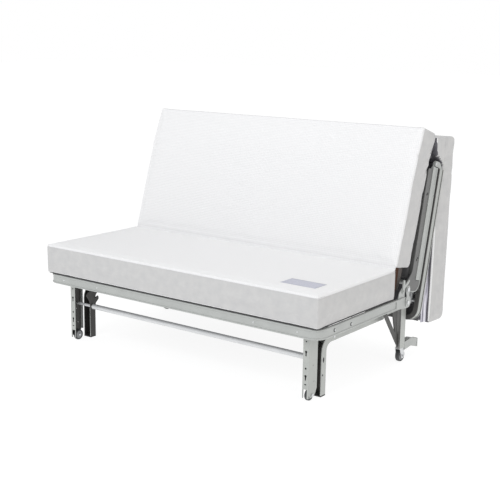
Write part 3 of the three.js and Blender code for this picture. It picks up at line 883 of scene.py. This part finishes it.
def build_crease_gusset():
    """Cloth hinge between the seat and back mattresses: brown binding in front, a grey gusset behind, both
    darkened with painted shade.
    """
    seat_back = SEAT_HIGH.y
    low = Vector((0, seat_back + 6 * MM, 0.335))
    for name, material, reach, inset in (
        ("crease_binding", BROWN, 30 * MM, 14 * MM),
        ("crease_gusset", GUSSET, 88 * MM, 26 * MM),
    ):
        for side, sign in (("right", 1), ("left", -1)):
            bm = bmesh.new()

            def point(u, v):
                top = PAD_PLACE @ Vector((0, 0.012 + reach * u, 0.026 + 0.006 * u))
                foot = low + Vector((0, reach * 0.75 * u, -0.012 * u))
                place = foot.lerp(top, v)
                wave = 2 * MM * math.sin(6 * u + 3 * v)
                place.x = sign * (HALF_WIDTH - inset + wave)
                return place

            add_sheet(bm, 10, 12, point)
            cloth = new_object(f"{name}_{side}", bm, material)
            thicken(cloth, 2.2 * MM)
            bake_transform(cloth)


# ---------------------------------------------------------------- sprung decks
SPRING_REACH = 38 * MM
FELT_MARGIN = 7 * MM


def add_spring(bm, start, end, radius=4.5 * MM, turns=9, wire=0.9 * MM):
    """A coil with straight hooks at both ends."""
    along = end - start
    side = along.orthogonal().normalized()
    up = along.normalized().cross(side)
    steps = turns * 8
    points = [start]
    for k in range(steps + 1):
        angle = math.tau * turns * k / steps
        centre = start + along * (0.2 + 0.6 * k / steps)
        points.append(centre + radius * (math.cos(angle) * side + math.sin(angle) * up))
    points.append(end)
    add_tube(bm, points, wire, 4)


def build_deck(node, body, place, z_low, z_high, y, x_half, felt_y):
    """A woven sheet hung on springs under a felt, in the frame's own X and Z."""
    reach = SPRING_REACH
    name = node + "_cloth"
    inner = x_half - reach
    bottom = z_low + reach
    top = z_high - reach
    bm = bmesh.new()

    def point(u, v):
        sag = 3 * MM * math.sin(math.pi * u) * math.sin(math.pi * v)
        return Vector((inner * (2 * u - 1), y + sag, bottom + v * (top - bottom)))

    add_sheet(bm, 60, 26, point)
    cloth = new_object(name, bm, DECKING, place)
    thicken(cloth, 1.6 * MM)
    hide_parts(node)
    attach(cloth, body)

    bm = bmesh.new()

    def felt_point(u, v):
        wave = 0.6 * MM * noise.noise(Vector((u * 30, v * 12, y * 50)))
        low = z_low - FELT_MARGIN
        x = (x_half + FELT_MARGIN) * (2 * u - 1)
        return Vector((x, felt_y + wave, low + v * (z_high + FELT_MARGIN - low)))

    add_sheet(bm, 90, 36, felt_point)
    felt = new_object(node + "_felt", bm, FELT, place)
    thicken(felt, 1.2 * MM)
    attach(felt, body)

    bm = bmesh.new()
    add_tube(bm, rounded_ring(inner, bottom, top, y, 6 * MM, 3, 0.06), 2.6 * MM, 6, closed=True)
    piece(node + "_hem", bm, DECKING, body, place)

    bm = bmesh.new()
    spacing = 68 * MM
    across = round(2 * inner / spacing)
    for k in range(1, across):
        x = -inner + 2 * inner * k / across
        for edge, frame_edge in ((bottom, z_low + 4 * MM), (top, z_high - 4 * MM)):
            add_spring(bm, Vector((x, y, edge)), Vector((x, y, frame_edge)))
    along = round((top - bottom) / spacing)
    for k in range(1, along):
        z = bottom + (top - bottom) * k / along
        for sign in (-1, 1):
            add_spring(bm, Vector((sign * inner, y, z)), Vector((sign * (x_half - 4 * MM), y, z)))
    piece(node + "_springs", bm, ZINC, body, place)


def build_decks():
    seat_low, seat_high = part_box("seat_deck")
    seat_plane = SEAT_HIGH.z - (seat_low[2] + seat_high[2]) / 2
    build_deck(
        "seat_deck", "seat_frame", SEAT_PLACE,
        z_low=seat_low[1] - SEAT_FRONT + 1 * MM, z_high=seat_high[1] - SEAT_FRONT,
        y=seat_plane + 1 * MM, x_half=0.674, felt_y=seat_plane - 1.5 * MM,
    )
    build_deck(
        "back_deck", "back_frame", BACK_PLACE,
        z_low=0.046, z_high=0.486, y=0.0295, x_half=0.662, felt_y=0.0265,
    )
    build_deck(
        "foot_deck", "foot_frame", FOOT_PLACE,
        z_low=-0.634, z_high=-0.034, y=0.0655, x_half=0.672, felt_y=0.0685,
    )


# ---------------------------------------------------------------- wheels
def build_wheels():
    for end in ("front", "rear"):
        for side in ("right", "left"):
            node = f"{end}_wheel_{side}"
            low, high = (Vector(corner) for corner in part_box(node))
            centre = (low + high) / 2
            radius = (high.z - low.z) / 2
            half = (high.x - low.x) / 2
            tyre_profile = [
                (radius * 0.72, -half * 0.7), (radius * 0.9, -half), (radius * 0.97, -half * 0.8),
                (radius, -half * 0.3), (radius, half * 0.3), (radius * 0.97, half * 0.8),
                (radius * 0.9, half), (radius * 0.72, half * 0.7),
            ]
            hub_profile = [
                (radius * 0.3, -half * 1.0), (radius * 0.4, -half * 0.85), (radius * 0.62, -half * 0.7),
                (radius * 0.74, -half * 0.82), (radius * 0.74, half * 0.82), (radius * 0.62, half * 0.7),
                (radius * 0.4, half * 0.85), (radius * 0.3, half * 1.0),
            ]
            bm = bmesh.new()
            add_lathe(bm, centre, tyre_profile, 40)
            tyre = piece(node + "_tyre", bm, TYRE, f"wheel_{end}_{side}")
            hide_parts(node)
            bm = bmesh.new()
            add_lathe(bm, centre, hub_profile, 32)
            piece(node + "_hub", bm, HUB, f"wheel_{end}_{side}")


# ---------------------------------------------------------------- small metal parts
def add_dome(bm, centre, outward, radius, rise, segments):
    """A dome on a surface, facing outward. Its rise is a share of its radius."""
    turn = outward.to_track_quat("Z", "Y").to_matrix().to_4x4()
    place = Matrix.Translation(centre) @ turn @ Matrix.Diagonal((1, 1, rise, 1))
    bmesh.ops.create_uvsphere(bm, u_segments=segments, v_segments=8, radius=radius, matrix=place)


def add_rivet(bm, centre, outward, radius):
    add_dome(bm, centre, outward, radius, rise=0.45, segments=16)


def add_shadow_disc(bm, centre, outward, radius):
    """A flat dark disc under a rivet head: painted shadow round it."""
    add_dome(bm, centre, outward, radius, rise=0.1, segments=20)


def build_rivets():
    """Heads where the legs, bars and brackets meet the seat rail."""
    rail_low, rail_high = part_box("seat_rail")
    bead = 2.5 * MM
    web = rail_high[0] - bead
    front = rail_low[1] + bead
    bm = bmesh.new()
    holes = bmesh.new()
    for sign in (-1, 1):
        outward = Vector((sign, 0, 0))
        for y, z in ((0.112, 0.279), (0.226, 0.276), (0.573, 0.276)):
            centre = Vector((sign * web, SEAT_FRONT + y, z))
            add_rivet(bm, centre, outward, 4.5 * MM)
            # Painted shadow: a dark disc set a little in front of each rivet.
            add_shadow_disc(holes, centre - Vector((0, 3 * MM, 0)), outward, 7 * MM)
        for x in (0.594, 0.40):
            add_rivet(bm, Vector((sign * x, front, 0.277)), Vector((0, -1, 0)), 3.5 * MM)
    piece("rail_rivets", bm, ZINC, "seat_frame")
    piece("rail_rivet_shadows", holes, DARK_CAP_AND_SHADE, "seat_frame")


# Per set of holes: its body, its distance from the middle of the bed, and for each hole
# the place behind the seat's front, the height, the radius and how much taller than wide it is.
# Each hole is a flat dark disc: painted shade for the dark seen through it.
HOLES = {
    "bar_holes": ("seat_frame", 0.6161, ((0.155, 0.141, 5 * MM, 2), (0.151, 0.083, 4 * MM, 1))),
    "arm_holes": ("back_frame", 0.6865, ((0.7826, 0.6931, 4.5 * MM, 1), (0.724, 0.4392, 4.5 * MM, 1))),
    "rail_holes": ("foot_frame", 0.6901, ((0.8337, 0.6778, 4.5 * MM, 1), (0.7438, 0.3037, 4.5 * MM, 1))),
}
HOLE_RISE = 0.08
BAR_BOLT = Vector((0.6162, SEAT_FRONT + 0.226, 0.215))


def build_bar_details():
    """Dark discs of painted shade where holes show in the side bars, the arms and the foot rail, and a
    bolt in each side bar.
    """
    for name, (body, outer, holes) in HOLES.items():
        bm = bmesh.new()
        for sign in (-1, 1):
            for y, z, radius, stretch in holes:
                centre = Matrix.Translation((sign * outer, SEAT_FRONT + y, z))
                place = centre @ Matrix.Diagonal((HOLE_RISE, 1, stretch, 1))
                bmesh.ops.create_uvsphere(bm, u_segments=20, v_segments=10, radius=radius, matrix=place)
        piece(name, bm, DARK_CAP_AND_SHADE, body)
    bm = bmesh.new()
    for sign in (-1, 1):
        centre = Vector((sign * BAR_BOLT.x, BAR_BOLT.y, BAR_BOLT.z))
        add_rivet(bm, centre, Vector((sign, 0, 0)), 6 * MM)
    piece("bar_bolts", bm, ZINC, "seat_frame")


ARM_OUTSIDE = 0.6852


def build_arm_lips():
    """The turned edge that carries on from each back rail, round the foot of the arm."""
    rear, low, reach, corner = 0.1035, -0.0075, 0.030, 0.042
    rail_end = 0.046
    steps = 8
    path = [Vector((0, rear, rail_end)), Vector((0, rear, low + corner))]
    for k in range(1, steps + 1):
        angle = math.radians(90 * k / steps)
        y = rear - corner + corner * math.cos(angle)
        path.append(Vector((0, y, low + corner - corner * math.sin(angle))))
    path.append(Vector((0, reach, low)))
    for side, sign in (("right", 1), ("left", -1)):
        bm = bmesh.new()
        points = [point + Vector((sign * ARM_OUTSIDE, 0, 0)) for point in path]
        add_tube(bm, points, 2.6 * MM, 8)
        piece(f"arm_lip_{side}", bm, PAINT, "back_frame", BACK_PLACE)


def build_leg_shade_strips():
    """Dark strips of painted shade behind the punched front faces of the legs."""
    bm = bmesh.new()
    size = Matrix.Diagonal((19 * MM, 0.8 * MM, 190 * MM, 1))
    for sign in (-1, 1):
        centre = Vector((sign * 0.5985, SEAT_FRONT + 0.0672, 0.148))
        bmesh.ops.create_cube(bm, size=1, matrix=Matrix.Translation(centre) @ size)
    piece("leg_shade_strips", bm, DARK_CAP_AND_SHADE, "seat_frame", smooth=False)


# ---------------------------------------------------------------- stage
ROOM_LIGHT = 0.66
BACKDROP = 1.0  # how bright the room shows to the camera
FLOOR_GLOW = 0.89
LIGHT_TARGET = Vector((0, 0, 0.4))
LIGHTS = (
    ("key", (0.2, -3.8, 2.9), 2.2, 62, (0.97, 0.985, 1.0)),
    ("fill", (3.8, -0.4, 1.4), 1.6, 15, (1.0, 0.96, 0.9)),
    ("top", (0.6, -0.2, 3.9), 2.4, 20, (1.0, 1.0, 1.0)),
)


def build_floor():
    bm = bmesh.new()
    bmesh.ops.create_grid(bm, x_segments=1, y_segments=1, size=30)
    floor_finish = Material("pale_floor", (0.22, 0.22, 0.22), 0.9)
    floor_finish.set("Specular IOR Level", 0.0)
    floor_finish.set("Emission Color", (1, 1, 1, 1))
    floor_finish.set("Emission Strength", FLOOR_GLOW)
    floor = new_object("floor", bm, floor_finish.material, Matrix.Translation((0, 0, -0.4 * MM)))


def build_world():
    world = bpy.data.worlds.new("studio")
    world.use_nodes = True
    tree = world.node_tree
    background = tree.nodes["Background"]
    background.inputs["Color"].default_value = (1, 1, 1, 1)
    path = tree.nodes.new("ShaderNodeLightPath")
    strength = tree.nodes.new("ShaderNodeMix")
    tree.links.new(path.outputs["Is Camera Ray"], strength.inputs["Factor"])
    strength.inputs["A"].default_value = ROOM_LIGHT
    strength.inputs["B"].default_value = BACKDROP
    tree.links.new(strength.outputs["Result"], background.inputs["Strength"])
    bpy.context.scene.world = world
    bpy.context.scene.view_settings.view_transform = "Standard"


def build_lights():
    for name, place, size, power, color in LIGHTS:
        light = bpy.data.lights.new(name, "AREA")
        light.size = size
        light.energy = power
        light.color = color
        lamp = bpy.data.objects.new(name, light)
        lamp.location = place
        lamp.rotation_euler = (LIGHT_TARGET - Vector(place)).to_track_quat("-Z", "Y").to_euler()
        bpy.context.scene.collection.objects.link(lamp)


def build_camera():
    """The photograph's viewpoint, found by fitting a camera to the object's edges."""
    place = Vector((2.5331, SEAT_FRONT - 2.8945, 1.3119))
    target = Vector((0.1647, SEAT_FRONT + 0.300, 0.4676))
    roll = math.radians(0.89)
    camera = bpy.data.cameras.new("photo_camera")
    camera.lens = 73.7
    camera.sensor_width = 36
    obj = bpy.data.objects.new("photo_camera", camera)
    turn = (target - place).to_track_quat("-Z", "Y").to_matrix().to_4x4()
    obj.matrix_world = Matrix.Translation(place) @ turn @ Matrix.Rotation(roll, 4, "Z")
    bpy.context.scene.collection.objects.link(obj)
    bpy.context.scene.camera = obj


finish_cad_nodes()
build_mattresses()
build_label()
build_puckers()
build_top_lining()
build_crease_cover()
build_crease_gusset()
build_decks()
build_wheels()
build_rivets()
build_bar_details()
build_arm_lips()
build_leg_shade_strips()
build_floor()
build_world()
build_lights()
build_camera()
